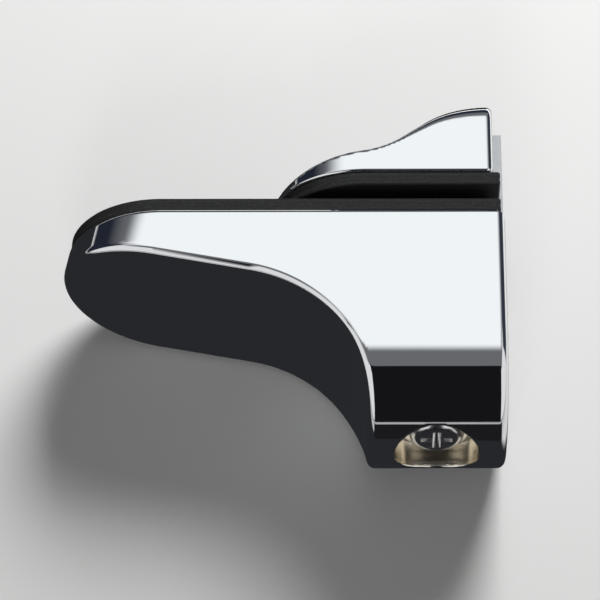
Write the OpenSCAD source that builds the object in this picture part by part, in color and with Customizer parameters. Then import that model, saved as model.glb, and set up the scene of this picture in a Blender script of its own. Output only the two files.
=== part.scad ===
// Clamping shelf bracket for one shelf edge. The upper jaw and the wall plate are fixed to the wall.
// The lower jaw carries the clamp screw and is drawn up under the shelf along the wall plate.
// +Z is up as installed, -Y points out along the shelf and the wall is the plane Y = 0.
// The origin is the middle of the two wall holes, on the wall.

/* [Jaws] */
// Width of both jaws, and of the round noses seen from above
jaw_w = 28; // [26:0.5:34]
// Reach of the lower jaw from the wall to its nose
tongue_l = 64.5; // [56:0.5:80]
// Depth of the lower jaw's stem, from the wall to its front
stem_d = 20; // [19:0.5:24]
// Height of the lower jaw from its pad seat to its round bottom
stem_h = 33; // [31:0.5:38]
// Thickness of the lower jaw's metal at its nose
nose_t = 4.4; // [3:0.1:6]
// Slope of the lower jaw's underside, in degrees
under_slope = 11; // [8:0.2:14]
// Radius of the gusset between the underside and the stem
gusset_r = 21; // [10:0.5:24]
// Reach of the upper jaw from the wall to its nose
upper_l = 34; // [31:0.5:42]
// Thickness of the upper jaw's metal at its nose
upper_nose_t = 0.5; // [0.4:0.1:2]
// Gap between the wall and the back of the upper jaw
upper_back = 1.5; // [0.8:0.1:1.8]

/* [Upper jaw curve] */
// Radius of the crown next to the wall
crown_r = 15.5; // [14:0.5:18]
// Steepest slope of the top, in degrees
crown_slope = 38.6; // [36:0.2:42]
// Length of the straight stretch below the crown
slope_l = 4.2; // [2:0.1:5]
// Radius of the hollow above the nose
dip_r = 12.5; // [9:0.5:14]
// Slope where the hollow turns into the nose, in degrees
nose_slope = 7.5; // [5:0.5:10]
// Radius of the nose's long curve
nose_r = 68; // [50:1:90]
// Radius of the two long top edges next to the wall
crown_edge_r = 3; // [2:0.1:4.5]

/* [Pads] */
// Thickness of both rubber pads
pad_t = 2.2; // [1.5:0.1:2.5]
// Distance of a pad's edge inside the jaw's edge
pad_inset = 0.3; // [0:0.05:0.8]
// Gap between the pads as the bracket stands, a little more than 2 mm of shelf
jaw_gap = 2.3; // [2.1:0.1:4]
// Distance of a pad's back end from the wall
pad_back = 0.5; // [0.3:0.1:1]

/* [Wall plate] */
// Gap between the wall plate's edges and the sides of the lower jaw's pocket
plate_gap = 1.5; // [0.6:0.1:2]
// Thickness of the wall plate
plate_t = 2; // [1.5:0.1:2.2]
// Distance between the two wall holes
hole_pitch = 12; // [10:0.5:14]
// Diameter of the wall holes
wall_hole_d = 4.2; // [3.8:0.1:4.6]
// Diameter of the countersinks at the plate's front
wall_sink_d = 7.6; // [7:0.1:8.4]
// Distance from the tab to the lower hole's countersink
sink_gap = 0.7; // [0.4:0.1:1.5]
// Thickness of the bent tab that the clamp screw threads into
tab_t = 2.5; // [2:0.1:3]
// Width of the tab
tab_w = 12; // [10:0.5:14]
// Gap in front of the tab, to the pocket's front wall
tab_front_gap = 0.9; // [0.5:0.1:1.2]
// Gap between the tab and the retaining ring with the jaws closed
tab_gap = 1.2; // [0.5:0.1:2]
// Gap between the pads with the jaws closed
closed_gap = 0.4; // [0.3:0.1:1]
// Outer diameter of the drawn thread collar on the tab
collar_d = 7; // [6:0.2:8]
// Height of the drawn thread collar
collar_h = 1.5; // [1:0.1:1.8]

/* [Clamp screw] */
// Thread diameter of the clamp screw
screw_d = 4; // [3.5:0.1:4.4]
// Gap between the clamp screw's end and the roof of the pocket
screw_end_gap = 2.3; // [1:0.1:3]
// Diameter of the clamp screw's head
head_d = 8; // [7:0.1:9]
// Height of the clamp screw's head
head_h = 2.6; // [2.4:0.1:3.2]
// Diameter of the driver hole in the lower jaw's bottom
driver_d = 12.2; // [11:0.1:13]
// Height of the driver hole's floor above the lower jaw's round bottom
floor_h = 5.2; // [5:0.1:6]
// Thickness of the web that carries the clamp screw's head
web_t = 3; // [2.5:0.1:3.2]
// Outer diameter of the ring that keeps the screw in the web
ring_d = 7.6; // [7:0.1:8.4]
// Thickness of the retaining ring
ring_t = 0.8; // [0.6:0.05:1]

/* [Jaw fixing screw] */
// Thread diameter of the screw that holds the upper jaw on the wall plate
fix_d = 3; // [2.5:0.1:3.5]
// Head diameter of the jaw fixing screw
fix_head_d = 5.6; // [5:0.1:6]
// Length of the jaw fixing screw
fix_l = 9; // [7:0.5:10]
// Distance from the jaw fixing screw's head to the wall plate's top edge
fix_edge = 1; // [0.5:0.1:2]

/* [Casting] */
// Wall thickness beside the lower jaw's rear pocket
wall_t = 3.5; // [3:0.25:4]
// Thickness of the roof over the rear pocket, under the pad
roof_t = 3; // [2.5:0.1:3]
// Corner radius of the rear pocket
pocket_r = 1.5; // [0.5:0.25:2.5]

/* [Hidden] */
$fn = 96;
// Clearance round the wall plate where it passes through the jaw and the pads
plate_clear = 0.3;
// Radial clearance of the clamp screw in the tab's thread
thread_clear = 0.05;
// Radial clearance of the clamp screw in the web
web_clear = 0.2;
// Gap between the retaining ring and the web
ring_clear = 0.1;
// Radial clearance of the jaw fixing screw in its holes
fix_clear = 0.05;
// Overshoot of every cut past the face that it opens
over = 1;
// Points along each arc of the upper jaw's outline
arc_steps = 10;

half_w = jaw_w / 2;
pocket_w = jaw_w - 2 * wall_t;
pocket_l = stem_d - wall_t;
plate_w = pocket_w - 2 * plate_gap;
screw_y = stem_d / 2;

// Heights above the lower jaw's round bottom, up to the middle of the wall holes
web_h = floor_h + web_t;
tab_h = web_h + ring_clear + ring_t + jaw_gap - closed_gap + tab_gap;
holes_h = tab_h + tab_t + sink_gap + (wall_sink_d + hole_pitch) / 2;

bottom_z = -holes_h;
floor_z = bottom_z + floor_h;
web_z = bottom_z + web_h;
tab_z = bottom_z + tab_h;
seat_z = bottom_z + stem_h;
pocket_top = seat_z - roof_t;
screw_l = pocket_top - screw_end_gap - floor_z;
upper_z = seat_z + 2 * pad_t + jaw_gap;

// The underside of the lower jaw: the nose's lower corner, the straight slope and the gusset's centre
nose_low = seat_z - nose_t;
gusset_run = gusset_r * tan((90 - under_slope) / 2);
slope_run = (tongue_l - stem_d) / cos(under_slope) - gusset_run;
gusset_z = nose_low - (tongue_l - stem_d) * tan(under_slope) - gusset_run;
// Reach that the lower pad is inset from, behind a line square to the underside at the nose's lower corner
lower_pad_l = tongue_l - nose_t * tan(under_slope);

// Where the upper jaw's hollow turns into its nose, and the drop of each stretch of its top
nose_start = upper_back + (crown_r + dip_r) * sin(crown_slope) + slope_l * cos(crown_slope)
    - dip_r * sin(nose_slope);
nose_end_slope = asin(sin(nose_slope) + (upper_l - nose_start) / nose_r);
crown_drop = crown_r * (1 - cos(crown_slope));
slope_drop = slope_l * sin(crown_slope);
dip_drop = dip_r * (cos(nose_slope) - cos(crown_slope));
nose_drop = nose_r * (cos(nose_slope) - cos(nose_end_slope));
upper_h = upper_nose_t + nose_drop + dip_drop + slope_drop + crown_drop;
plate_top = upper_z + upper_h - crown_edge_r;
fix_at = plate_top - fix_edge - fix_head_d / 2;

// A flat outline with Y to the right and Z up, made a solid of width w about the plane X = 0
module across(w) {
    translate([-w / 2, 0, 0])
        rotate([90, 0, 90])
            linear_extrude(w)
                children();
}

// A flat outline with X to the right and Z up, made a solid from y_back towards the front
module along(y_back, depth) {
    translate([0, y_back, 0])
        rotate([90, 0, 0])
            linear_extrude(depth)
                children();
}

// The outline of a jaw or pad from above: straight sides and a round nose
module nose_plan(reach, w, y_back) {
    translate([-w / 2, -reach + w / 2])
        square([w, reach - w / 2 - y_back]);
    translate([0, -reach + w / 2])
        circle(d = w);
}

function arc(centre, r, from, to) = [
    for (i = [0 : arc_steps])
        let (a = from + (to - from) * i / arc_steps)
        [centre.x + r * cos(a), centre.y + r * sin(a)]
];

// The lower jaw from the side: sloping tongue, round gusset and upright stem
module lower_profile() {
    difference() {
        polygon([
            [-tongue_l, seat_z],
            [-tongue_l, nose_low],
            [-tongue_l + slope_run * cos(under_slope), nose_low - slope_run * sin(under_slope)],
            [-stem_d, gusset_z],
            [-stem_d, bottom_z],
            [0, bottom_z],
            [0, seat_z]
        ]);
        translate([-stem_d - gusset_r, gusset_z])
            circle(r = gusset_r);
    }
}

// The lower jaw from the wall: flat top and half-round bottom
module stem_section() {
    translate([-half_w, bottom_z + half_w])
        square([jaw_w, stem_h - half_w]);
    translate([0, bottom_z + half_w])
        circle(d = jaw_w);
}

// The hollow at the lower jaw's back, which takes the wall plate's tab
module rear_pocket() {
    along(over, pocket_l + over)
        translate([-pocket_w / 2 + pocket_r, web_z + pocket_r])
            for (x = [0, pocket_w - 2 * pocket_r], z = [0, pocket_top - web_z - 2 * pocket_r])
                translate([x, z])
                    circle(r = pocket_r);
    along(over, pocket_l + over) {
        translate([-pocket_w / 2 + pocket_r, web_z])
            square([pocket_w - 2 * pocket_r, pocket_top - web_z]);
        translate([-pocket_w / 2, web_z + pocket_r])
            square([pocket_w, pocket_top - web_z - 2 * pocket_r]);
    }
}

// The way for the wall plate through whatever stands between low and high
module plate_slot(low, high) {
    w = plate_w + 2 * plate_clear;
    translate([-w / 2, -plate_t - plate_clear, low])
        cube([w, plate_t + plate_clear + over, high - low]);
}

module lower_jaw() {
    color("silver")
        difference() {
            intersection() {
                across(jaw_w) lower_profile();
                along(0, tongue_l) stem_section();
                translate([0, 0, bottom_z]) linear_extrude(stem_h) nose_plan(tongue_l, jaw_w, 0);
            }
            rear_pocket();
            plate_slot(pocket_top - over, seat_z + over);
            translate([0, -screw_y, bottom_z - over])
                cylinder(d = driver_d, h = floor_h + over);
            translate([0, -screw_y, floor_z - over])
                cylinder(r = screw_d / 2 + web_clear, h = web_t + 2 * over);
        }
}

// A pad of the given reach, lying on the level low
module pad(reach, low) {
    difference() {
        translate([0, 0, low])
            linear_extrude(pad_t)
                nose_plan(reach - pad_inset, jaw_w - 2 * pad_inset, pad_back);
        plate_slot(low - over, low + pad_t + over);
    }
}

module lower_pad() {
    color([0.07, 0.07, 0.07]) pad(lower_pad_l, seat_z);
}

module upper_pad() {
    color([0.07, 0.07, 0.07]) pad(upper_l, upper_z - pad_t);
}

// The upper jaw from the side: crown, straight slope, hollow and long nose
module upper_profile() {
    crown_at = [-upper_back, upper_z + upper_h - crown_r];
    crown = arc(crown_at, crown_r, 90, 90 + crown_slope);
    slope_end = crown[arc_steps] - slope_l * [cos(crown_slope), sin(crown_slope)];
    dip_at = slope_end + dip_r * [-sin(crown_slope), cos(crown_slope)];
    dip = arc(dip_at, dip_r, crown_slope - 90, nose_slope - 90);
    nose_at = dip[arc_steps] + nose_r * [sin(nose_slope), -cos(nose_slope)];
    nose = arc(nose_at, nose_r, 90 + nose_slope, 90 + nose_end_slope);
    polygon(concat([[-upper_back, upper_z]], crown, dip, nose, [[-upper_l, upper_z]]));
}

// The upper jaw from the wall: square below, with two round edges at the top
module crown_section() {
    translate([-half_w, upper_z])
        square([jaw_w, upper_h - crown_edge_r]);
    translate([-half_w + crown_edge_r, upper_z])
        square([jaw_w - 2 * crown_edge_r, upper_h]);
    for (side = [-1, 1])
        translate([side * (half_w - crown_edge_r), upper_z + upper_h - crown_edge_r])
            circle(r = crown_edge_r);
}

module upper_jaw() {
    slot_w = plate_w + 2 * plate_clear;
    color("silver")
        difference() {
            intersection() {
                across(jaw_w) upper_profile();
                translate([0, 0, upper_z]) linear_extrude(upper_h) nose_plan(upper_l, jaw_w, upper_back);
                along(0, upper_l) crown_section();
            }
            translate([-slot_w / 2, -plate_t, upper_z - over])
                cube([slot_w, plate_t + over, plate_top + plate_clear - upper_z + over]);
            translate([0, over, fix_at])
                rotate([90, 0, 0])
                    cylinder(r = fix_d / 2 + fix_clear, h = fix_l + fix_clear + over);
        }
}

// The plate against the wall, with its tab bent out under the jaws
module wall_plate() {
    fix_sink = (fix_head_d - fix_d) / 2;
    wall_sink = (wall_sink_d - wall_hole_d) / 2;
    color([0.75, 0.76, 0.78])
        difference() {
            union() {
                translate([-plate_w / 2, -plate_t, tab_z])
                    cube([plate_w, plate_t, plate_top - tab_z]);
                translate([-tab_w / 2, -screw_y, tab_z])
                    cube([tab_w, screw_y - plate_t / 2, tab_t]);
                translate([0, -screw_y, tab_z])
                    cylinder(r = pocket_l - tab_front_gap - screw_y, h = tab_t);
                translate([0, -screw_y, tab_z])
                    cylinder(d = collar_d, h = tab_t + collar_h);
            }
            translate([0, -screw_y, tab_z - over])
                cylinder(r = screw_d / 2 + thread_clear, h = tab_t + collar_h + 2 * over);
            for (side = [-1, 1])
                translate([0, 0, side * hole_pitch / 2])
                    rotate([90, 0, 0]) {
                        translate([0, 0, -over])
                            cylinder(d = wall_hole_d, h = plate_t + 2 * over);
                        translate([0, 0, plate_t - wall_sink])
                            cylinder(d1 = wall_hole_d, d2 = wall_sink_d + 2 * over, h = wall_sink + over);
                    }
            translate([0, 0, fix_at])
                rotate([90, 0, 0]) {
                    translate([0, 0, -over])
                        cylinder(r = fix_d / 2 + fix_clear, h = plate_t + 2 * over);
                    translate([0, 0, -over])
                        cylinder(
                            r1 = fix_head_d / 2 + fix_clear + over,
                            r2 = fix_d / 2 + fix_clear,
                            h = fix_sink + over
                        );
                }
        }
}

// A cross recess, open towards +Z at the origin
module cross_recess(width, depth) {
    intersection() {
        translate([0, 0, -depth])
            cylinder(r1 = width / 6, r2 = width / 2, h = depth + 0.01);
        for (turn = [0, 90])
            rotate([0, 0, turn])
                translate([-width, -width / 10, -depth - over])
                    cube([2 * width, width / 5, depth + 2 * over]);
    }
}

// A countersunk screw whose head lies flush with the wall plate's back
module jaw_fixing_screw() {
    fix_sink = (fix_head_d - fix_d) / 2;
    color([0.75, 0.76, 0.78])
        translate([0, 0, fix_at])
            rotate([90, 0, 0])
                difference() {
                    union() {
                        cylinder(d1 = fix_head_d, d2 = fix_d, h = fix_sink);
                        cylinder(d = fix_d, h = fix_l);
                    }
                    rotate([180, 0, 0])
                        cross_recess(fix_head_d / 2, fix_sink);
                }
}

// A pan-head screw with its head down in the driver hole
module clamp_screw() {
    head_r = head_d / 2;
    dome_r = head_h * 0.45;
    color([0.8, 0.81, 0.83])
        translate([0, -screw_y, floor_z])
            difference() {
                union() {
                    cylinder(d = screw_d, h = screw_l);
                    rotate([180, 0, 0])
                        rotate_extrude() {
                            square([head_r, head_h - dome_r]);
                            square([head_r - dome_r, head_h]);
                            translate([head_r - dome_r, head_h - dome_r])
                                intersection() {
                                    circle(r = dome_r);
                                    square(dome_r);
                                }
                        }
                }
                translate([0, 0, -head_h])
                    rotate([180, 0, 0])
                        cross_recess(head_d * 0.56, head_h * 0.65);
            }
}

// The ring pressed on the clamp screw above the web
module retaining_ring() {
    color([0.3, 0.3, 0.32])
        translate([0, -screw_y, web_z + ring_clear])
            difference() {
                cylinder(d = ring_d, h = ring_t);
                translate([0, 0, -over])
                    cylinder(d = screw_d, h = ring_t + 2 * over);
            }
}

lower_jaw();
lower_pad();
upper_jaw();
upper_pad();
wall_plate();
jaw_fixing_screw();
clamp_screw();
retaining_ring();
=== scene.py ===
"""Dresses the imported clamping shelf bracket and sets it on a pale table, as it lies in the photograph.

The castings, pads and the clamp screw are smooth rounded forms. Each is a distance function of a few sizes, which
a surface net turns into a mesh. Lengths in the forms are millimetres, and the meshes are metres.
"""

import logging
import math
from dataclasses import dataclass
from enum import Enum

import bpy
import numpy as np
from mathutils import Matrix, Vector

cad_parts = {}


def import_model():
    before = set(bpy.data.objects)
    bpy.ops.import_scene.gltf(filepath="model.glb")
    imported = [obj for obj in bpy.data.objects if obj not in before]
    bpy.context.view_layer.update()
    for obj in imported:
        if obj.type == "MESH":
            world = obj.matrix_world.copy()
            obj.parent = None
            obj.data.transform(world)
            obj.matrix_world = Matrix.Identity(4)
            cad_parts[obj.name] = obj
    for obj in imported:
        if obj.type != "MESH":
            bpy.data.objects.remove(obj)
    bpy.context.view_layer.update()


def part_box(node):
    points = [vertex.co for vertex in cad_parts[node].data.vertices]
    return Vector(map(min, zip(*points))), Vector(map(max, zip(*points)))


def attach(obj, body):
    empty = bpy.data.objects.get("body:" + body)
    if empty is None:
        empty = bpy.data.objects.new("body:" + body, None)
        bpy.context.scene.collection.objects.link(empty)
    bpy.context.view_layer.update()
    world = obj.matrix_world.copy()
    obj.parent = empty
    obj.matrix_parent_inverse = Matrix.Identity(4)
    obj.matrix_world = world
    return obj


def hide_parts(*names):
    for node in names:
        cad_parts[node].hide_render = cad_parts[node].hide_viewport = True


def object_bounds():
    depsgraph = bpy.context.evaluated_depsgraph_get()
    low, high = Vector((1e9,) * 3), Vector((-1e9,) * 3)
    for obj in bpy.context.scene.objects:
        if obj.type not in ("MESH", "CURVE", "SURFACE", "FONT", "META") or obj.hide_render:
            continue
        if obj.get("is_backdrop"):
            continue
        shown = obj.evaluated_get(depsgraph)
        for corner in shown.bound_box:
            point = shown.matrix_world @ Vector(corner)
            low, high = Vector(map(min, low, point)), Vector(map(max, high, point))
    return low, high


LOG = logging.getLogger("bracket")
MM = 0.001
# Sockets of a Mix node that blends colours
MIX_COLOURS = (6, 7)
MIX_RESULT = 2
# Sockets of a Mix node that blends plain values
MIX_VALUES = (2, 3)


def round_and(a: np.ndarray, b: np.ndarray, radius: float | np.ndarray) -> np.ndarray:
    """Intersects two forms and rounds the edge between them.

    Args:
        a: Distance to the first form, negative inside.
        b: Distance to the second form, negative inside.
        radius: Radius of the rounded edge, which may vary over the points.

    Returns:
        Distance to the rounded intersection.
    """
    u, v = a + radius, b + radius
    outside = np.sqrt(np.maximum(u, 0) ** 2 + np.maximum(v, 0) ** 2)
    return np.minimum(np.maximum(u, v), 0) + outside - radius


def round_cut(a: np.ndarray, b: np.ndarray, radius: float) -> np.ndarray:
    """Takes form b out of form a and rounds the rim of the cut.

    Args:
        a: Distance to the solid.
        b: Distance to the form that is taken out.
        radius: Radius of the rim.

    Returns:
        Distance to what is left.
    """
    return round_and(a, -b, radius)


def nose_plan(x: np.ndarray, y: np.ndarray, reach: float, half_w: float) -> np.ndarray:
    """Gives the distance to straight sides that end in a round nose, seen from above.

    Args:
        x: Place across the bracket.
        y: Place along the bracket, negative away from the wall.
        reach: Distance from the wall to the nose.
        half_w: Half the width, and the nose's radius.

    Returns:
        Distance to the outline.
    """
    centre = half_w - reach
    return np.hypot(x, np.minimum(y - centre, 0)) - half_w


def rounded_box(
    u: np.ndarray, v: np.ndarray, low: tuple[float, float], high: tuple[float, float], radius: float = 0.0
) -> np.ndarray:
    """Gives the distance to a rectangle with rounded corners.

    Args:
        u: First coordinate.
        v: Second coordinate.
        low: Lowest corner.
        high: Highest corner.
        radius: Corner radius.

    Returns:
        Distance to the rectangle.
    """
    du = np.abs(u - (low[0] + high[0]) / 2) - (high[0] - low[0]) / 2 + radius
    dv = np.abs(v - (low[1] + high[1]) / 2) - (high[1] - low[1]) / 2 + radius
    return np.minimum(np.maximum(du, dv), 0) + np.hypot(np.maximum(du, 0), np.maximum(dv, 0)) - radius


def smooth_step(value: np.ndarray) -> np.ndarray:
    """Eases a value from 0 to 1 with level ends."""
    t = np.clip(value, 0, 1)
    return t * t * (3 - 2 * t)


def bend_to_nose(u: np.ndarray, v: np.ndarray, centre: float) -> tuple[np.ndarray, np.ndarray]:
    """Bends a square grid's end into a half disc, so that its outer lines follow a round nose.

    Args:
        u: Place across, from the middle.
        v: Place along, negative away from the wall.
        centre: Where the half disc starts.

    Returns:
        The bent places across and along.
    """
    ahead = np.maximum(centre - v, 0)
    share = np.maximum(np.abs(u), ahead) / np.maximum(np.hypot(u, ahead), 1e-9)
    share = np.where(ahead > 0, share, 1.0)
    return u * share, np.where(ahead > 0, centre - ahead * share, v)


class Form:
    """A solid given by its distance function, in millimetres in the row's frame."""

    low: np.ndarray
    high: np.ndarray
    cell: float = 0.4
    settle_steps: int = 5
    slope_step: float = 0.02
    least_steep: float = 0.05

    def extent(self) -> tuple[np.ndarray, np.ndarray]:
        """Returns the lowest and highest corner that the solid may reach."""
        return self.low, self.high

    def distance(self, x: np.ndarray, y: np.ndarray, z: np.ndarray) -> np.ndarray:
        """Returns the distance to the solid at each point, negative inside."""
        raise NotImplementedError

    def at(self, points: np.ndarray) -> np.ndarray:
        """Returns the distance at an array of points, one row each."""
        return self.distance(points[:, 0], points[:, 1], points[:, 2])

    def slope(self, points: np.ndarray) -> np.ndarray:
        """Returns the gradient of the distance at each point."""
        step = self.cell * self.slope_step
        columns = []
        for axis in range(3):
            shift = np.zeros(3)
            shift[axis] = step
            columns.append((self.at(points + shift) - self.at(points - shift)) / (2 * step))
        return np.stack(columns, 1)

    def warp(self, u: np.ndarray, v: np.ndarray, w: np.ndarray) -> tuple[np.ndarray, np.ndarray, np.ndarray]:
        """Turns a place in the net's own grid into a place in the row's frame."""
        return u, v, w

    def net(self) -> tuple[np.ndarray, np.ndarray]:
        """Lays a net of four-sided faces over the surface.

        Returns:
            The vertices, in millimetres, and the faces as rows of four vertex numbers.
        """
        low, high = self.extent()
        low = low - 2 * self.cell
        counts = np.ceil((high + 2 * self.cell - low) / self.cell).astype(int) + 1
        axes = [low[a] + self.cell * np.arange(counts[a]) for a in range(3)]
        field = self.distance(*self.warp(axes[0][:, None, None], axes[1][None, :, None], axes[2][None, None, :]))
        field = np.broadcast_to(field, counts)
        inside = field < 0
        corners = [(i, j, k) for i in (0, 1) for j in (0, 1) for k in (0, 1)]
        spans = counts - 1
        filled = sum(
            inside[i : i + spans[0], j : j + spans[1], k : k + spans[2]].astype(np.int8) for i, j, k in corners
        )
        crossed = np.argwhere((filled > 0) & (filled < 8))
        share_sum = np.zeros((len(crossed), 3))
        hits = np.zeros(len(crossed))
        for a in corners:
            for b in corners:
                if sum(b) - sum(a) != 1 or any(q < p for p, q in zip(a, b)):
                    continue
                at_a = field[tuple((crossed + a).T)]
                at_b = field[tuple((crossed + b).T)]
                cut = (at_a < 0) != (at_b < 0)
                share = np.where(cut, at_a / np.where(cut, at_a - at_b, 1), 0)
                share_sum += cut[:, None] * (np.array(a) + share[:, None] * (np.array(b) - np.array(a)))
                hits += cut
        vertices = low + (crossed + share_sum / hits[:, None]) * self.cell
        vertices = np.stack(self.warp(*vertices.T), 1)
        number = np.full(spans, -1)
        number[tuple(crossed.T)] = np.arange(len(crossed))
        faces = [self._faces(inside, number, axis) for axis in range(3)]
        return self._settle(vertices), np.concatenate(faces)

    @staticmethod
    def _faces(inside: np.ndarray, number: np.ndarray, axis: int) -> np.ndarray:
        """Makes one face for each grid edge along an axis that crosses the surface.

        Args:
            inside: Which grid points are in the solid.
            number: The vertex number of each grid cell.
            axis: The axis that the edges run along.

        Returns:
            The faces, turned outwards.
        """
        first = np.take(inside, range(inside.shape[axis] - 1), axis)
        second = np.take(inside, range(1, inside.shape[axis]), axis)
        edges = np.argwhere(first != second)
        leaves = first[tuple(edges.T)]
        u, v = np.zeros(3, int), np.zeros(3, int)
        u[(axis + 1) % 3] = 1
        v[(axis + 2) % 3] = 1
        ring = [edges - u - v, edges - v, edges, edges - u]
        quads = np.stack([number[tuple(corner.T)] for corner in ring], 1)
        quads[~leaves] = quads[~leaves][:, ::-1]
        return quads

    def _settle(self, points: np.ndarray) -> np.ndarray:
        """Moves the net's vertices onto the surface itself."""
        for _ in range(self.settle_steps):
            slope = self.slope(points)
            steep = np.maximum((slope**2).sum(1), self.least_steep)
            step = -(self.at(points) / steep)[:, None] * slope
            points = points + np.clip(step, -self.cell / 2, self.cell / 2)
        return points

    def build(self, name: str) -> bpy.types.Object:
        """Makes the solid a Blender object with exact surface normals.

        Args:
            name: The object's name.

        Returns:
            The object, in metres, at the origin.
        """
        points, quads = self.net()
        mesh = bpy.data.meshes.new(name)
        mesh.from_pydata((points * MM).tolist(), [], quads.tolist())
        mesh.shade_smooth()
        normals = self.slope(points)
        normals /= np.linalg.norm(normals, axis=1)[:, None]
        mesh.normals_split_custom_set_from_vertices(normals.tolist())
        piece = bpy.data.objects.new(name, mesh)
        bpy.context.scene.collection.objects.link(piece)
        return piece


def node_box(node: str) -> tuple[np.ndarray, np.ndarray]:
    """Returns the lowest and highest corner of a CAD node, in millimetres."""
    low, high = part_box(node)
    return np.array(low) / MM, np.array(high) / MM


@dataclass
class LowerJawForm(Form):
    """The lower casting: tongue, gusset and half-round stem with a rear pocket and a driver hole."""

    cell: float = 0.38
    reach: float = 64.5
    nose_t: float = 4.4
    under_slope: float = math.radians(11)
    gusset_r: float = 21.0
    stem_d: float = 20.0
    edge_r: float = 1.2
    seat_edge_r: float = 0.25
    wall_edge_r: float = 1.2
    wall_t: float = 3.5
    roof_t: float = 3.0
    pocket_r: float = 1.5
    floor_h: float = 5.2
    web_t: float = 3.0
    driver_r: float = 6.1
    driver_rim_r: float = 0.45
    bore_r: float = 2.2
    cut_rim_r: float = 0.3
    slot_half_w: float = 9.3
    slot_depth: float = 2.3
    slot_sink: float = 1.0
    warp_run: float = 10.0

    def __post_init__(self) -> None:
        """Takes the overall size from the frame."""
        self.low, self.high = node_box("lower_jaw")
        self.half_w = self.high[0]
        self.seat = self.high[2]
        self.bottom = self.low[2]

    def warp(self, u: np.ndarray, v: np.ndarray, w: np.ndarray) -> tuple[np.ndarray, np.ndarray, np.ndarray]:
        """Bends the grid's end round the leaning nose."""
        x, y = bend_to_nose(u, v, self.half_w - self.reach)
        near = smooth_step((-self.stem_d - v) / self.warp_run)
        return x, y + near * (w - self.seat + self.nose_t) * math.tan(self.under_slope), w

    def underside(self, y: np.ndarray, z: np.ndarray) -> np.ndarray:
        """Returns the distance to the side outline below the seat: slope, gusset arc and stem."""
        sin, cos = math.sin(self.under_slope), math.cos(self.under_slope)
        fall = (y + self.reach) * sin / cos
        slope = (self.seat - self.nose_t - fall - z) * cos
        stem = -self.stem_d - y
        corner = self.seat - self.nose_t - (self.reach - self.stem_d) * sin / cos
        run = self.gusset_r * math.tan((math.pi / 2 - self.under_slope) / 2)
        centre_y, centre_z = -self.stem_d - self.gusset_r, corner - run
        dy, dz = y - centre_y, z - centre_z
        in_arc = (dz > 0) & (dy * cos - dz * sin > 0)
        return np.where(in_arc, self.gusset_r - np.hypot(dy, dz), np.minimum(slope, stem))

    def nose(self, x: np.ndarray, y: np.ndarray, z: np.ndarray) -> np.ndarray:
        """Returns the distance to the straight sides and the round nose, which leans back over the underside."""
        sin, cos = math.sin(self.under_slope), math.cos(self.under_slope)
        down_slope = (y + self.reach) * cos - (z - self.seat + self.nose_t) * sin
        return np.hypot(x, np.minimum(down_slope - self.half_w, 0)) - self.half_w

    def distance(self, x: np.ndarray, y: np.ndarray, z: np.ndarray) -> np.ndarray:
        """Returns the distance to the casting."""
        round_at = self.bottom + self.half_w
        section = np.hypot(x, np.minimum(z - round_at, 0)) - self.half_w
        sides = np.maximum(self.nose(x, y, z), section)
        solid = round_and(sides, self.underside(y, z), self.edge_r)
        solid = round_and(solid, z - self.seat, self.seat_edge_r)
        solid = round_and(solid, y + 0 * z, self.wall_edge_r)

        floor = self.bottom + self.floor_h
        web = floor + self.web_t
        roof = self.seat - self.roof_t
        from_axis = np.hypot(x, y + self.stem_d / 2)
        driver = np.maximum(from_axis - self.driver_r, z - floor)
        solid = round_cut(solid, driver, self.driver_rim_r)
        pocket_w = self.half_w - self.wall_t
        pocket = rounded_box(x, z, (-pocket_w, web), (pocket_w, roof), self.pocket_r)
        pocket = round_and(pocket, self.wall_t - self.stem_d - y, self.pocket_r)
        solid = round_cut(solid, pocket, self.cut_rim_r)
        slot = rounded_box(x, y, (-self.slot_half_w, -self.slot_depth), (self.slot_half_w, self.slot_depth))
        solid = np.maximum(solid, -np.maximum(slot, roof - self.slot_sink - z))
        bore = np.maximum(from_axis - self.bore_r, np.abs(z - floor - self.web_t / 2) - self.web_t)
        return np.maximum(solid, -bore)


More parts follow.
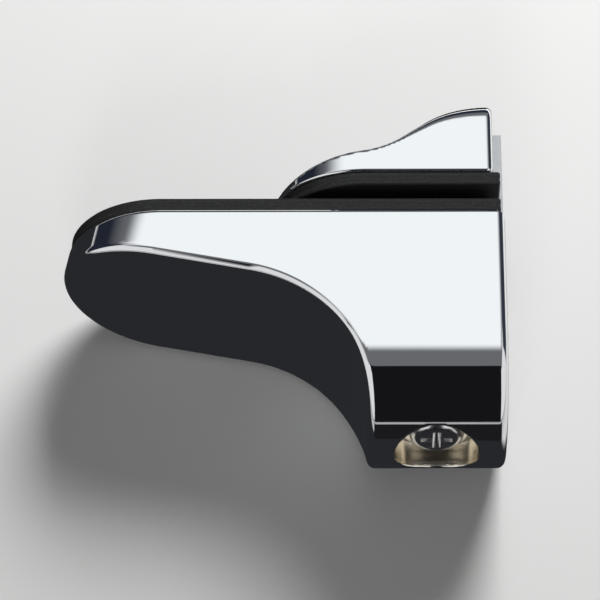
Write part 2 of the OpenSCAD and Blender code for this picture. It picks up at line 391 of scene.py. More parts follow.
@dataclass
class UpperJawForm(Form):
    """The upper casting: crown at the wall, dip and long nose, with a slot at the back for the wall plate."""

    cell: float = 0.36
    back_gap: float = 1.5
    crown_r: float = 15.5
    crown_slope: float = math.radians(38.6)
    slope_l: float = 4.2
    dip_r: float = 12.5
    nose_slope: float = math.radians(7.5)
    nose_r: float = 68.0
    crown_edge_r: float = 3.0
    nose_edge_r: float = 0.5
    edge_from: float = -17.5
    seat_edge_r: float = 0.25
    wall_edge_r: float = 0.9
    slot_half_w: float = 9.3
    slot_over: float = 5.0
    plate_t: float = 2.0
    plate_clear: float = 0.3

    def __post_init__(self) -> None:
        """Takes the overall size from the frame."""
        self.low, self.high = node_box("upper_jaw")
        self.half_w = self.high[0]
        self.reach = -self.low[1]

    def warp(self, u: np.ndarray, v: np.ndarray, w: np.ndarray) -> tuple[np.ndarray, np.ndarray, np.ndarray]:
        """Bends the grid's end round the nose."""
        return (*bend_to_nose(u, v, self.half_w - self.reach), w)

    def top(self, y: np.ndarray) -> tuple[np.ndarray, np.ndarray]:
        """Gives the height of the top outline and the cosine of its slope.

        Args:
            y: Place along the bracket.

        Returns:
            The height and the cosine at each place.
        """
        away = np.maximum(-self.back_gap - y, 0)
        sin, cos = math.sin(self.crown_slope), math.cos(self.crown_slope)
        crown_end = self.crown_r * sin
        slope_end = crown_end + self.slope_l * cos
        dip_end = slope_end + self.dip_r * (sin - math.sin(self.nose_slope))
        crown_drop = self.crown_r * (1 - cos)
        slope_drop = self.slope_l * sin
        dip_drop = self.dip_r * (math.cos(self.nose_slope) - cos)

        crown_sin = np.minimum(away, crown_end) / self.crown_r
        crown_cos = np.sqrt(1 - crown_sin**2)
        dip_sin = sin - (np.clip(away, slope_end, dip_end) - slope_end) / self.dip_r
        dip_cos = np.sqrt(1 - dip_sin**2)
        nose_sin = math.sin(self.nose_slope) + (np.maximum(away, dip_end) - dip_end) / self.nose_r
        nose_cos = np.sqrt(1 - np.minimum(nose_sin, 0.9) ** 2)

        drop = np.select(
            [away < crown_end, away < slope_end, away < dip_end],
            [
                self.crown_r * (1 - crown_cos),
                crown_drop + (away - crown_end) * sin / cos,
                crown_drop + slope_drop + self.dip_r * (dip_cos - cos),
            ],
            crown_drop + slope_drop + dip_drop + self.nose_r * (math.cos(self.nose_slope) - nose_cos),
        )
        level = np.select(
            [away < crown_end, away < slope_end, away < dip_end], [crown_cos, cos + 0 * away, dip_cos], nose_cos
        )
        return self.high[2] - drop, level

    def distance(self, x: np.ndarray, y: np.ndarray, z: np.ndarray) -> np.ndarray:
        """Returns the distance to the casting."""
        height, level = self.top(y)
        top = (z - height) * level
        back = -self.back_gap
        near_wall = smooth_step((y - self.edge_from) / (back - self.edge_from))
        edge = self.nose_edge_r + (self.crown_edge_r - self.nose_edge_r) * near_wall
        solid = round_and(nose_plan(x, y, self.reach, self.half_w), top, edge)
        solid = round_and(solid, self.low[2] - z, self.seat_edge_r)
        solid = round_and(solid, y - back + 0 * z, self.wall_edge_r)
        slot_top = self.high[2] - self.crown_edge_r + self.plate_clear
        slot = rounded_box(x, z, (-self.slot_half_w, self.low[2] - self.slot_over), (self.slot_half_w, slot_top))
        return np.maximum(solid, -np.maximum(slot, -self.plate_t - y))


@dataclass
class PadForm(Form):
    """A rubber pad with soft edges and a fine groove round its side."""

    node: str = "lower_pad"
    cell: float = 0.3
    edge_r: float = 0.35
    groove: float = 0.12
    groove_half_h: float = 0.3
    notch_half_w: float = 9.3
    notch_depth: float = 2.3

    def __post_init__(self) -> None:
        """Takes the overall size from the frame."""
        self.low, self.high = node_box(self.node)

    def warp(self, u: np.ndarray, v: np.ndarray, w: np.ndarray) -> tuple[np.ndarray, np.ndarray, np.ndarray]:
        """Bends the grid's end round the nose."""
        return (*bend_to_nose(u, v, self.high[0] + self.low[1]), w)

    def distance(self, x: np.ndarray, y: np.ndarray, z: np.ndarray) -> np.ndarray:
        """Returns the distance to the pad."""
        middle = (self.low[2] + self.high[2]) / 2
        pinch = self.groove * np.exp(-(((z - middle) / self.groove_half_h) ** 2))
        plan = round_and(nose_plan(x, y, -self.low[1], self.high[0]), y - self.high[1], self.edge_r)
        faces = np.abs(z - middle) - (self.high[2] - self.low[2]) / 2
        solid = round_and(plan + pinch, faces, self.edge_r)
        notch = rounded_box(x, y, (-self.notch_half_w, -self.notch_depth), (self.notch_half_w, self.notch_depth))
        return np.maximum(solid, -notch)


@dataclass
class ScrewHeadForm(Form):
    """The clamp screw's pan head with its cross recess, below the web."""

    cell: float = 0.11
    dome_r: float = 1.4
    recess_half_w: float = 0.55
    recess_r: float = 2.3
    recess_depth: float = 2.0
    recess_taper: float = 0.75
    arm_taper: float = 0.25
    rim_r: float = 0.1
    head_h: float = 2.6

    def __post_init__(self) -> None:
        """Takes the head's place from the frame."""
        low, high = node_box("clamp_screw")
        self.axis_y = (low[1] + high[1]) / 2
        self.head_r = (high[0] - low[0]) / 2
        self.face = low[2]

    def extent(self) -> tuple[np.ndarray, np.ndarray]:
        """Returns the head's box."""
        r = self.head_r
        return (
            np.array([-r, self.axis_y - r, self.face]),
            np.array([r, self.axis_y + r, self.face + self.head_h]),
        )

    def distance(self, x: np.ndarray, y: np.ndarray, z: np.ndarray) -> np.ndarray:
        """Returns the distance to the head."""
        across, along = x, y - self.axis_y
        from_axis = np.hypot(across, along)
        depth = z - self.face
        solid = round_and(from_axis - self.head_r, -depth, self.dome_r)
        solid = round_and(solid, depth - self.head_h, self.rim_r)
        arm_half_w = self.recess_half_w * (1 - self.arm_taper * depth / self.recess_depth)
        arms = np.minimum(np.abs(across), np.abs(along)) - arm_half_w
        cone = from_axis - self.recess_r + self.recess_taper * depth
        recess = np.maximum(np.maximum(arms, cone), depth - self.recess_depth)
        return round_cut(solid, recess, self.rim_r)


class Coat(Enum):
    """The finishes that a piece of the bracket can have."""

    CHROME = "chrome_casting"
    RUBBER = "pad_rubber"
    STEEL = "plated_steel"
    SCREW = "screw_steel"
    SPRING = "spring_steel"


class NodeSheet:
    """A short way to add and join the nodes of a material."""

    def __init__(self, name: str) -> None:
        """Starts an empty material.

        Args:
            name: The material's name.
        """
        self.material = bpy.data.materials.new(name)
        self.material.use_nodes = True
        self.tree = self.material.node_tree
        self.shader = self.tree.nodes["Principled BSDF"]
        self.place = self.add("ShaderNodeTexCoord").outputs["Object"]

    def add(self, kind: str, **inputs: float) -> bpy.types.Node:
        """Adds a node and sets its inputs by name.

        Args:
            kind: The node's type.
            inputs: Values of its input sockets.

        Returns:
            The node.
        """
        node = self.tree.nodes.new(kind)
        for name, value in inputs.items():
            node.inputs[name].default_value = value
        return node

    def join(self, source: bpy.types.NodeSocket, target: bpy.types.NodeSocket) -> None:
        """Links an output to an input."""
        self.tree.links.new(source, target)

    def noise(self, scale: float, detail: float = 2.0, rough: float = 0.5) -> bpy.types.NodeSocket:
        """Adds a noise pattern in the row's frame and returns its value."""
        node = self.add("ShaderNodeTexNoise", Scale=scale, Detail=detail, Roughness=rough)
        self.join(self.place, node.inputs["Vector"])
        return node.outputs["Fac"]

    def ramp(self, source: bpy.types.NodeSocket, low: float, high: float) -> bpy.types.NodeSocket:
        """Stretches a value from 0..1 to low..high and returns it."""
        node = self.add("ShaderNodeMapRange")
        node.inputs["To Min"].default_value = low
        node.inputs["To Max"].default_value = high
        self.join(source, node.inputs["Value"])
        return node.outputs["Result"]

    def combine(
        self, operation: str, a: bpy.types.NodeSocket, b: bpy.types.NodeSocket | float
    ) -> bpy.types.NodeSocket:
        """Combines two values, of which the second may be a plain number.

        Args:
            operation: The operation of a Math node.
            a: The first value.
            b: The second value.

        Returns:
            The result.
        """
        node = self.add("ShaderNodeMath")
        node.operation = operation
        self.join(a, node.inputs[0])
        if isinstance(b, bpy.types.NodeSocket):
            self.join(b, node.inputs[1])
        else:
            node.inputs[1].default_value = b
        return node.outputs[0]

    def blend(
        self, share: bpy.types.NodeSocket, first: tuple[float, float, float], second: tuple[float, float, float]
    ) -> bpy.types.NodeSocket:
        """Blends two colours.

        Args:
            share: The share of the second colour.
            first: The colour where the share is 0.
            second: The colour where the share is 1.

        Returns:
            The blended colour.
        """
        node = self.add("ShaderNodeMix")
        node.data_type = "RGBA"
        self.join(share, node.inputs[0])
        node.inputs[MIX_COLOURS[0]].default_value = (*first, 1)
        node.inputs[MIX_COLOURS[1]].default_value = (*second, 1)
        return node.outputs[MIX_RESULT]

    def bump(self, height: bpy.types.NodeSocket, depth: float, strength: float) -> bpy.types.NodeSocket:
        """Adds a bump.

        Args:
            height: The pattern that lifts the surface.
            depth: Height of the pattern, in metres.
            strength: How much of it is used.

        Returns:
            The bumped normal.
        """
        node = self.add("ShaderNodeBump", Strength=strength, Distance=depth)
        self.join(height, node.inputs["Height"])
        return node.outputs["Normal"]

    def clear_by(self, share: bpy.types.NodeSocket, shader: bpy.types.NodeSocket) -> None:
        """Makes the surface a shader that is clear by a share.

        Args:
            share: How clear the surface is, from 0 to 1.
            shader: The shader that is seen where it isn't clear.
        """
        mix = self.add("ShaderNodeMixShader")
        self.join(share, mix.inputs["Fac"])
        self.join(shader, mix.inputs[1])
        self.join(self.add("ShaderNodeBsdfTransparent").outputs["BSDF"], mix.inputs[2])
        self.join(mix.outputs["Shader"], self.tree.nodes["Material Output"].inputs["Surface"])


@dataclass(frozen=True)
class ChromeFinish:
    """Bright chrome plating over a polished zinc casting."""

    colour: tuple[float, float, float] = (0.86, 0.87, 0.885)
    gloss_low: float = 0.012
    gloss_high: float = 0.05
    haze_scale: float = 900.0
    wave_scale: float = 110.0
    wave_depth: float = 0.00002
    bore_colour: tuple[float, float, float] = (0.93, 0.88, 0.78)
    bore_gloss: float = 0.17
    bore_axis: tuple[float, float, float] = (0.0, -0.01, 0.0)
    bore_r: float = 0.0062
    bore_top: float = -0.0165

    def make(self, name: str) -> bpy.types.Material:
        """Returns the chrome material, thinner and duller in the driver hole."""
        sheet = NodeSheet(name)
        bore = self._in_bore(sheet)
        sheet.join(sheet.blend(bore, self.colour, self.bore_colour), sheet.shader.inputs["Base Color"])
        sheet.shader.inputs["Metallic"].default_value = 1.0
        haze = sheet.ramp(sheet.noise(self.haze_scale, detail=3.0, rough=0.6), self.gloss_low, self.gloss_high)
        gloss = sheet.add("ShaderNodeMix")
        sheet.join(bore, gloss.inputs[0])
        sheet.join(haze, gloss.inputs[MIX_VALUES[0]])
        gloss.inputs[MIX_VALUES[1]].default_value = self.bore_gloss
        sheet.join(gloss.outputs[0], sheet.shader.inputs["Roughness"])
        wave = sheet.bump(sheet.noise(self.wave_scale, detail=1.0), self.wave_depth, strength=0.6)
        sheet.join(wave, sheet.shader.inputs["Normal"])
        return sheet.material

    def _in_bore(self, sheet: NodeSheet) -> bpy.types.NodeSocket:
        """Returns 1 inside the driver hole of the lower jaw and 0 elsewhere."""
        apart = sheet.add("ShaderNodeSeparateXYZ")
        away = sheet.add("ShaderNodeVectorMath")
        away.operation = "SUBTRACT"
        away.inputs[1].default_value = self.bore_axis
        sheet.join(sheet.place, away.inputs[0])
        sheet.join(away.outputs["Vector"], apart.inputs[0])
        flat = sheet.add("ShaderNodeCombineXYZ")
        sheet.join(apart.outputs["X"], flat.inputs["X"])
        sheet.join(apart.outputs["Y"], flat.inputs["Y"])
        from_axis = sheet.add("ShaderNodeVectorMath")
        from_axis.operation = "LENGTH"
        sheet.join(flat.outputs["Vector"], from_axis.inputs[0])
        near = sheet.combine("LESS_THAN", from_axis.outputs["Value"], self.bore_r)
        low = sheet.combine("LESS_THAN", apart.outputs["Z"], self.bore_top)
        return sheet.combine("MULTIPLY", near, low)


@dataclass(frozen=True)
class RubberFinish:
    """Matt black moulded rubber with a fine grain and a few pale specks."""

    colour: tuple[float, float, float] = (0.012, 0.012, 0.0125)
    speck: tuple[float, float, float] = (0.07, 0.07, 0.068)
    gloss_low: float = 0.42
    gloss_high: float = 0.68
    grain_scale: float = 2600.0
    grain_depth: float = 0.00006
    speck_scale: float = 3800.0
    speck_start: float = 0.58
    speck_full: float = 0.78

    def make(self, name: str) -> bpy.types.Material:
        """Returns the rubber material."""
        sheet = NodeSheet(name)
        specks = sheet.add("ShaderNodeMapRange")
        specks.inputs["From Min"].default_value = self.speck_start
        specks.inputs["From Max"].default_value = self.speck_full
        sheet.join(sheet.noise(self.speck_scale, detail=2.0, rough=0.7), specks.inputs["Value"])
        sheet.join(sheet.blend(specks.outputs["Result"], self.colour, self.speck), sheet.shader.inputs["Base Color"])
        grain = sheet.noise(self.grain_scale, detail=3.0, rough=0.6)
        sheet.join(sheet.ramp(grain, self.gloss_low, self.gloss_high), sheet.shader.inputs["Roughness"])
        sheet.join(sheet.bump(grain, self.grain_depth, strength=0.7), sheet.shader.inputs["Normal"])
        return sheet.material


@dataclass(frozen=True)
class SteelFinish:
    """Plated steel with faint rolling marks."""

    colour: tuple[float, float, float] = (0.60, 0.61, 0.63)
    gloss_low: float = 0.18
    gloss_high: float = 0.34
    grain_scale: float = 700.0
    grain_depth: float = 0.00002

    def make(self, name: str) -> bpy.types.Material:
        """Returns the steel material."""
        sheet = NodeSheet(name)
        sheet.shader.inputs["Base Color"].default_value = (*self.colour, 1)
        sheet.shader.inputs["Metallic"].default_value = 1.0
        grain = sheet.noise(self.grain_scale, detail=4.0, rough=0.65)
        sheet.join(sheet.ramp(grain, self.gloss_low, self.gloss_high), sheet.shader.inputs["Roughness"])
        sheet.join(sheet.bump(grain, self.grain_depth, strength=0.5), sheet.shader.inputs["Normal"])
        return sheet.material


FINISHES = {
    Coat.CHROME: ChromeFinish(),
    Coat.RUBBER: RubberFinish(),
    Coat.STEEL: SteelFinish(),
    Coat.SCREW: SteelFinish(colour=(0.84, 0.84, 0.84), gloss_low=0.14, gloss_high=0.26),
    Coat.SPRING: SteelFinish(colour=(0.16, 0.16, 0.17), gloss_low=0.3, gloss_high=0.45),
}


class Finishes:
    """Makes each finish once and puts it on the pieces."""

    def __init__(self) -> None:
        """Starts with no finish made."""
        self.made: dict[Coat, bpy.types.Material] = {}

    def get(self, coat: Coat) -> bpy.types.Material:
        """Returns the material of a coat."""
        if coat not in self.made:
            self.made[coat] = FINISHES[coat].make(coat.value)
        return self.made[coat]

    def dress(self, piece: bpy.types.Object, coat: Coat) -> None:
        """Gives a piece its coat as its only material."""
        piece.data.materials.clear()
        piece.data.materials.append(self.get(coat))


@dataclass
class ThreadTree:
    """A node tree that winds a screw thread round a core."""

    pitch: float = 0.7
    outer_r: float = 2.0
    depth: float = 0.42
    turn_points: int = 28
    ridge_points: int = 6
    core_points: int = 48

    def tree(self, material: bpy.types.Material) -> bpy.types.NodeTree:
        """Builds the node tree.

        Args:
            material: The steel of the screw.

        Returns:
            The tree, with its sizes as named inputs in metres.
        """
        tree = bpy.data.node_groups.new("screw_thread", "GeometryNodeTree")
        tree.interface.new_socket("Geometry", in_out="OUTPUT", socket_type="NodeSocketGeometry")
        for name in ("Length", "Pitch", "Core Radius", "Ridge Radius"):
            tree.interface.new_socket(name, in_out="INPUT", socket_type="NodeSocketFloat")
        add, join = tree.nodes.new, tree.links.new
        given = add("NodeGroupInput").outputs
        out = add("NodeGroupOutput").inputs["Geometry"]

        turns = add("ShaderNodeMath")
        turns.operation = "DIVIDE"
        join(given["Length"], turns.inputs[0])
        join(given["Pitch"], turns.inputs[1])
        helix = add("GeometryNodeCurveSpiral")
        helix.inputs["Resolution"].default_value = self.turn_points
        join(turns.outputs[0], helix.inputs["Rotations"])
        join(given["Core Radius"], helix.inputs["Start Radius"])
        join(given["Core Radius"], helix.inputs["End Radius"])
        join(given["Length"], helix.inputs["Height"])
        ridge = add("GeometryNodeCurvePrimitiveCircle")
        ridge.inputs["Resolution"].default_value = self.ridge_points
        join(given["Ridge Radius"], ridge.inputs["Radius"])
        sweep = add("GeometryNodeCurveToMesh")
        join(helix.outputs["Curve"], sweep.inputs["Curve"])
        join(ridge.outputs["Curve"], sweep.inputs["Profile Curve"])
        sweep.inputs["Fill Caps"].default_value = True

        core = add("GeometryNodeMeshCylinder")
        core.inputs["Vertices"].default_value = self.core_points
        join(given["Core Radius"], core.inputs["Radius"])
        join(given["Length"], core.inputs["Depth"])
        half = add("ShaderNodeMath")
        half.operation = "MULTIPLY"
        half.inputs[1].default_value = 0.5
        join(given["Length"], half.inputs[0])
        lift = add("ShaderNodeCombineXYZ")
        join(half.outputs[0], lift.inputs["Z"])
        raised = add("GeometryNodeTransform")
        join(core.outputs["Mesh"], raised.inputs["Geometry"])
        join(lift.outputs["Vector"], raised.inputs["Translation"])

        both = add("GeometryNodeJoinGeometry")
        join(sweep.outputs["Mesh"], both.inputs["Geometry"])
        join(raised.outputs["Geometry"], both.inputs["Geometry"])
        real = add("GeometryNodeRealizeInstances")
        join(both.outputs["Geometry"], real.inputs["Geometry"])
        coat = add("GeometryNodeSetMaterial")
        coat.inputs["Material"].default_value = material
        join(real.outputs["Geometry"], coat.inputs["Geometry"])
        join(coat.outputs["Geometry"], out)
        return tree

    def wind(self, length: float, material: bpy.types.Material) -> bpy.types.Mesh:
        """Winds the thread and returns it as a plain mesh that starts at the origin and rises.

        Args:
            length: Length of the threaded rod, in metres.
            material: The steel of the screw.

        Returns:
            The mesh, in metres.
        """
        holder = bpy.data.objects.new("thread_holder", bpy.data.meshes.new("thread_holder"))
        bpy.context.scene.collection.objects.link(holder)
        winding = holder.modifiers.new("winding", "NODES")
        winding.node_group = self.tree(material)
        sizes = {
            "Length": length,
            "Pitch": self.pitch * MM,
            "Core Radius": (self.outer_r - self.depth) * MM,
            "Ridge Radius": self.depth * MM,
        }
        for item in winding.node_group.interface.items_tree:
            if item.in_out == "INPUT":
                winding[item.identifier] = sizes[item.name]
        shape = holder.evaluated_get(bpy.context.evaluated_depsgraph_get())
        mesh = bpy.data.meshes.new_from_object(shape)
        holder.modifiers.remove(winding)
        bpy.data.objects.remove(holder)
        return mesh


@dataclass
class LowerJaw:
    """The lower jaw and its pad, which slide down the wall plate."""

    body: str = "lower_jaw"

    def build(self, finishes: Finishes) -> list[bpy.types.Object]:
        """Makes the casting and the pad.

        Args:
            finishes: The finishes of the bracket.

        Returns:
            The pieces.
        """
        casting = LowerJawForm().build("lower_casting")
        pad = PadForm(node="lower_pad").build("lower_rubber")
        return [
            fit(casting, self.body, "lower_jaw", Coat.CHROME, finishes),
            fit(pad, self.body, "lower_pad", Coat.RUBBER, finishes),
        ]


@dataclass
class WallSide:
    """The upper jaw, its pad, the wall plate and the screw between them."""

    body: str = "wall_side"

    def build(self, finishes: Finishes) -> list[bpy.types.Object]:
        """Makes the casting and the pad, and coats the plate and the screw.

        Args:
            finishes: The finishes of the bracket.

        Returns:
            The pieces.
        """
        casting = UpperJawForm().build("upper_casting")
        pad = PadForm(node="upper_pad").build("upper_rubber")
        return [
            fit(casting, self.body, "upper_jaw", Coat.CHROME, finishes),
            fit(pad, self.body, "upper_pad", Coat.RUBBER, finishes),
            coat_node("wall_plate", Coat.STEEL, finishes),
            coat_node("jaw_fixing_screw", Coat.STEEL, finishes),
        ]


@dataclass
class ClampScrew:
    """The clamp screw, turned from below, and the ring that keeps it in the lower jaw."""

    body: str = "screw"

    def build(self, finishes: Finishes) -> list[bpy.types.Object]:
        """Makes the screw and coats the ring.

        Args:
            finishes: The finishes of the bracket.

        Returns:
            The pieces.
        """
        head = ScrewHeadForm()
        screw = head.build("turned_screw")
        top = node_box("clamp_screw")[1][2]
        start = head.face + head.head_h
        thread = ThreadTree().wind((top - start) * MM, finishes.get(Coat.SCREW))
        thread.transform(Matrix.Translation(Vector((0, head.axis_y, start)) * MM))
        self._append(screw, thread)
        return [
            fit(screw, self.body, "clamp_screw", Coat.SCREW, finishes),
            coat_node("retaining_ring", Coat.SPRING, finishes),
        ]

    @staticmethod
    def _append(piece: bpy.types.Object, extra: bpy.types.Mesh) -> None:
        """Adds a mesh to a piece as part of its own mesh."""
        other = bpy.data.objects.new("extra", extra)
        bpy.context.scene.collection.objects.link(other)
        with bpy.context.temp_override(active_object=piece, selected_editable_objects=[piece, other]):
            bpy.ops.object.join()


def fit(piece: bpy.types.Object, body: str, node: str, coat: Coat, finishes: Finishes) -> bpy.types.Object:
    """Puts a piece in the place of a CAD node.

    Args:
        piece: The piece.
        body: The CAD body that it moves with.
        node: The CAD node that it stands for.
        coat: Its finish.
        finishes: The finishes of the bracket.

    Returns:
        The piece.
    """
    finishes.dress(piece, coat)
    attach(piece, body)
    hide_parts(node)
    return piece


def coat_node(node: str, coat: Coat, finishes: Finishes) -> bpy.types.Object:
    """Gives a CAD node its finish.

    Args:
        node: The node's name.
        coat: Its finish.
        finishes: The finishes of the bracket.

    Returns:
        The node's object.
    """
    piece = bpy.data.objects[node]
    finishes.dress(piece, coat)
    return piece


@dataclass(frozen=True)
class Card:
    """A flat glowing card beside the bracket that only the polished metal shows, and that lights nothing and casts
    no shadow: a painted reflection, either a painted highlight like a softbox's or a painted dark reflection like a
    flag's.

    It faces the bracket unless its facing is given. It fades out over soft shares of its size, given for the two
    ends of its width and then for the two of its height.
    """

    name: str
    centre: tuple[float, float, float]
    size: tuple[float, float]
    colour: tuple[float, float, float]
    soft: tuple[float, float, float, float]
    facing: tuple[float, float, float] | None = None


@dataclass(frozen=True)
class Lamp:
    """A soft square lamp that shines on the bracket and isn't seen itself."""

    name: str
    side: float
    power: float
    place: tuple[float, float, float]


@dataclass
class Studio:
    """The table that the bracket lies on, the soft light round it and the photograph's camera."""

    table_side: float = 3.0
    table_gap: float = 0.00002
    touching: float = 0.00008
    table_colour: tuple[float, float, float] = (0.74, 0.74, 0.735)
    table_rough: float = 0.7
    table_shine: float = 0.1
    room_colour: tuple[float, float, float] = (0.78, 0.78, 0.78)
    fill: float = 0.14
    target: tuple[float, float, float] = (0.0, -0.03, 0.0)
    # Painted reflections: the bright softbox card paints the highlight on the metal, and the dark cards paint dark
    # reflections where the room and the table are pale.
    cards: tuple[Card, ...] = (
        Card(
            "softbox", (0.452, -0.12, 0.164), (0.84, 0.51), (1.0, 1.03, 1.04), (0.42, 0.34, 0.2, 0.24),
            facing=(-0.94, 0.0, -0.34),
        ),
        Card(
            "ceiling", (0.555, -0.275, 0.22), (1.35, 1.39), (0.15, 0.155, 0.165), (0.44, 0.08, 0.02, 0.12),
            facing=(-0.93, 0.0, -0.368),
        ),
        # Painted dark reflections: these dark cards are seen only in the metal, and the card at the table top paints
        # a dark table under the bracket in the metal while the real table stays pale.
        Card("front_flag", (0.278, -0.02, -0.445), (0.40, 0.72), (0.008, 0.008, 0.009), (0.12, 0.12, 0.03, 0.02)),
        Card("low_flag", (-0.005, -0.01, -0.058), (0.056, 0.018), (0.012, 0.012, 0.014), (0.1, 0.1, 0.05, 0.05)),
        Card(
            "table_flag", (-0.0139, -0.165, 0.045), (0.37, 0.29), (0.022, 0.023, 0.026), (0.1, 0.03, 0.03, 0.1),
            facing=(1.0, 0.0, 0.0),
        ),
        Card("nose_flag", (0.29, -1.11, 0.67), (1.9, 1.9), (0.016, 0.02, 0.032), (0.1, 0.1, 0.1, 0.1)),
        Card("rear_flag", (0.34, 0.62, 0.36), (0.8, 0.8), (0.035, 0.04, 0.055), (0.1, 0.1, 0.1, 0.1)),
        Card("back_flag", (0.15, -0.03, 0.62), (1.2, 0.40), (0.02, 0.025, 0.04), (0.1, 0.1, 0.3, 0.1)),
    )
    lamps: tuple[Lamp, ...] = (
        Lamp("soft_key", side=0.26, power=5.2, place=(0.37, 0.12, 0.46)),
        Lamp("front_fill", side=0.12, power=0.45, place=(0.30, -0.06, -0.46)),
    )
    facing_along: float = 0.7
    lens: float = 240.0
    distance: float = 586.13
    tilt: float = math.radians(59.194)
    heading: float = math.radians(0.524)
    roll: float = math.radians(-0.528)
    aim: tuple[float, float, float] = (0.0, -29.639, 0.921)
    near_clip: float = 0.01

    def build(self) -> None:
        """Makes the table, the lamps, the cards, the world and the camera."""
        self._table()
        for lamp in self.lamps:
            self._light(lamp)
        for card in self.cards:
            self._hang(card)
        self._world()
        self._camera()

    def _sheet(self, name: str, centre: Vector, facing: Vector, size: tuple[float, float]) -> bpy.types.Object:
        """Makes a flat stage piece.

        Args:
            name: The piece's name.
            centre: Its middle, in metres.
            facing: The direction that its face looks in.
            size: Its width and height, in metres.

        Returns:
            The piece.
        """
        mesh = bpy.data.meshes.new(name)
        w, h = size[0] / 2, size[1] / 2
        along = Vector((0, 1, 0))
        if abs(facing.y) > self.facing_along * facing.length:
            along = Vector((0, 0, 1))
        along = (along - along.project(facing)).normalized()
        across = along.cross(facing).normalized()
        corners = [centre + a * w * along + b * h * across for a, b in ((-1, -1), (1, -1), (1, 1), (-1, 1))]
        mesh.from_pydata([tuple(c) for c in corners], [], [(3, 2, 1, 0)])
        layer = mesh.uv_layers.new(name="card")
        for loop, uv in zip(layer.data, ((0, 1), (1, 1), (1, 0), (0, 0))):
            loop.uv = uv
        card = bpy.data.objects.new(name, mesh)
        bpy.context.scene.collection.objects.link(card)
        card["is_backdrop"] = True
        return card

    def _hang(self, card: Card) -> None:
        """Hangs a card of painted reflection: a glowing sheet that only reflections show, that lights nothing, and
        that fades out towards its edges.

        Args:
            card: The card.
        """
        centre = Vector(card.centre)
        facing = Vector(card.facing) if card.facing else Vector(self.target) - centre
        piece = self._sheet(card.name, centre, facing, card.size)
        piece.visible_camera = False
        piece.visible_diffuse = False
        piece.visible_shadow = False
        piece.visible_transmission = False
        sheet = NodeSheet(card.name + "_cloth")
        apart = sheet.add("ShaderNodeSeparateXYZ")
        sheet.join(sheet.add("ShaderNodeTexCoord").outputs["UV"], apart.inputs[0])
        cover = None
        for side, soft in enumerate(card.soft):
            start = side % 2
            fade = sheet.add("ShaderNodeMapRange")
            fade.interpolation_type = "SMOOTHSTEP"
            fade.inputs["From Min"].default_value = start
            fade.inputs["From Max"].default_value = abs(start - soft)
            sheet.join(apart.outputs["XY"[side // 2]], fade.inputs["Value"])
            share = fade.outputs["Result"]
            cover = share if cover is None else sheet.combine("MULTIPLY", cover, share)
        # Painted reflection: the card's colour glows, a painted highlight where it is bright and a painted dark
        # reflection where it is dark.
        glow = sheet.add("ShaderNodeEmission", Strength=1.0)
        glow.inputs["Color"].default_value = (*card.colour, 1)
        clear = sheet.add("ShaderNodeMath")
        clear.operation = "SUBTRACT"
        clear.inputs[0].default_value = 1.0
        sheet.join(cover, clear.inputs[1])
        sheet.clear_by(clear.outputs[0], glow.outputs["Emission"])
        piece.data.materials.append(sheet.material)

    def _table(self) -> None:
        """Makes the pale table under the bracket's side, clear from below and to rays that start on that side."""
        low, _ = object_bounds()
        side = low[0] - self.table_gap
        table = self._sheet("table", Vector((side, 0, 0)), Vector((1, 0, 0)), (self.table_side, self.table_side))
        sheet = NodeSheet("table_top")
        sheet.shader.inputs["Base Color"].default_value = (*self.table_colour, 1)
        sheet.shader.inputs["Roughness"].default_value = self.table_rough
        sheet.shader.inputs["Specular IOR Level"].default_value = self.table_shine
        rays = sheet.add("ShaderNodeLightPath")
        touching = sheet.combine("LESS_THAN", rays.outputs["Ray Length"], self.touching)
        behind = sheet.add("ShaderNodeNewGeometry").outputs["Backfacing"]
        sheet.clear_by(sheet.combine("MAXIMUM", behind, touching), sheet.shader.outputs["BSDF"])
        table.data.materials.append(sheet.material)

    def _light(self, lamp: Lamp) -> None:
        """Sets up a lamp, turned to the bracket.

        Args:
            lamp: The lamp.
        """
        light = bpy.data.lights.new(lamp.name, "AREA")
        light.size = lamp.side
        light.energy = lamp.power
        piece = bpy.data.objects.new(lamp.name, light)
        bpy.context.scene.collection.objects.link(piece)
        piece.location = lamp.place
        piece.rotation_euler = (piece.location - Vector(self.target)).to_track_quat("Z", "Y").to_euler()
        piece.visible_camera = False
        piece.visible_glossy = False

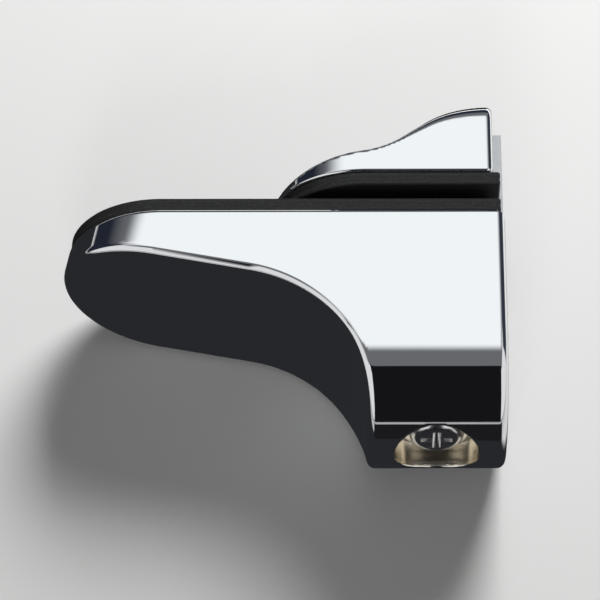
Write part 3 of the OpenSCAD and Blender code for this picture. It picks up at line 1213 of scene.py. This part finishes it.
    def _world(self) -> None:
        """Makes the room: pale where it is seen, also in the metal, and a weak even fill light."""
        world = bpy.data.worlds.new("room")
        bpy.context.scene.world = world
        world.use_nodes = True
        tree = world.node_tree
        back = tree.nodes["Background"]
        back.inputs["Color"].default_value = (*self.room_colour, 1)
        rays = tree.nodes.new("ShaderNodeLightPath")
        seen = rays.outputs["Is Camera Ray"]
        for kind in ("Is Glossy Ray", "Is Transmission Ray"):
            either = tree.nodes.new("ShaderNodeMath")
            either.operation = "MAXIMUM"
            tree.links.new(seen, either.inputs[0])
            tree.links.new(rays.outputs[kind], either.inputs[1])
            seen = either.outputs[0]
        level = tree.nodes.new("ShaderNodeMapRange")
        level.inputs["To Min"].default_value = self.fill
        level.inputs["To Max"].default_value = 1.0
        tree.links.new(seen, level.inputs["Value"])
        tree.links.new(level.outputs["Result"], back.inputs["Strength"])

    def _camera(self) -> None:
        """Sets the camera as the photograph's, from the fitted angles and distance."""
        side, along, up = Vector((1, 0, 0)), Vector((0, 1, 0)), Vector((0, 0, 1))
        across = math.cos(self.heading) * along + math.sin(self.heading) * up
        ahead = -math.sin(self.heading) * along + math.cos(self.heading) * up
        look = -math.sin(self.tilt) * side + math.cos(self.tilt) * ahead
        top = math.cos(self.tilt) * side + math.sin(self.tilt) * ahead
        right = math.cos(self.roll) * across + math.sin(self.roll) * top
        above = -math.sin(self.roll) * across + math.cos(self.roll) * top
        data = bpy.data.cameras.new("camera")
        data.lens = self.lens
        data.clip_start = self.near_clip
        camera = bpy.data.objects.new("camera", data)
        bpy.context.scene.collection.objects.link(camera)
        turn = Matrix((right, above, -look)).transposed().to_4x4()
        place = (Vector(self.aim) - self.distance * look) * MM
        camera.matrix_world = Matrix.Translation(place) @ turn
        bpy.context.scene.camera = camera


def main() -> None:
    """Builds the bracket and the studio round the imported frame."""
    logging.basicConfig(level=logging.INFO, format="%(name)s: %(message)s")
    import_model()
    bpy.context.scene.view_settings.view_transform = "Standard"
    Studio().build()
    finishes = Finishes()
    for assembly in (LowerJaw(), WallSide(), ClampScrew()):
        for piece in assembly.build(finishes):
            LOG.info("%s on %s, %d faces", piece.name, assembly.body, len(piece.data.polygons))


if __name__ == "__main__":
    main()
